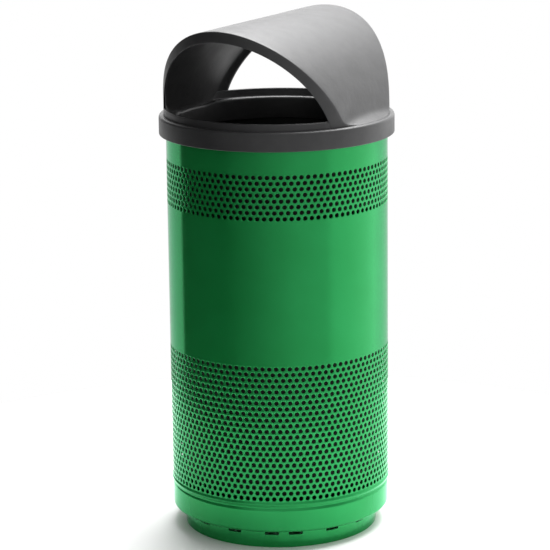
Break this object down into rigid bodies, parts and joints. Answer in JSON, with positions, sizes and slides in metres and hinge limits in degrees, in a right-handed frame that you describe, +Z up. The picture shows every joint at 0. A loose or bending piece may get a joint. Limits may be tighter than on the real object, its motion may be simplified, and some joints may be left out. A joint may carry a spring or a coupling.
{
  "type": "dome top waste receptacle",
  "caption": "Round perforated steel waste receptacle on a slotted base ring, with a rigid liner and a lift-off dome lid open front and back.",
  "frame": {"origin": "centre of the base ring's underside, on the floor", "axes": "+Z up along the can's axis; the hood's openings face -Y and +Y; +X is to the right of the front opening"},
  "size_m": [0.5026, 0.5026, 1.1066],
  "materials": {
    "green_coat": "glossy green powder coat on steel",
    "lid_plastic": "finely textured black moulded plastic with a soft sheen",
    "liner_plastic": "plain black moulded plastic"
  },
  "bodies": {
    "can": {"body_shell": "green_coat", "rim_hoop": "green_coat", "base_pan": "green_coat", "base_ring": "green_coat"},
    "liner": {"liner": "liner_plastic"},
    "lid": {"dome_lid": "lid_plastic"}
  },
  "joints": [
    {"name": "liner_lift", "type": "slide", "parent": "can", "child": "liner", "axis": [0, 0, 1], "range_m": [0, 0.88]},
    {"name": "lid_lift", "type": "slide", "parent": "liner", "child": "lid", "axis": [0, 0, 1], "range_m": [0, 0.3]}
  ]
}
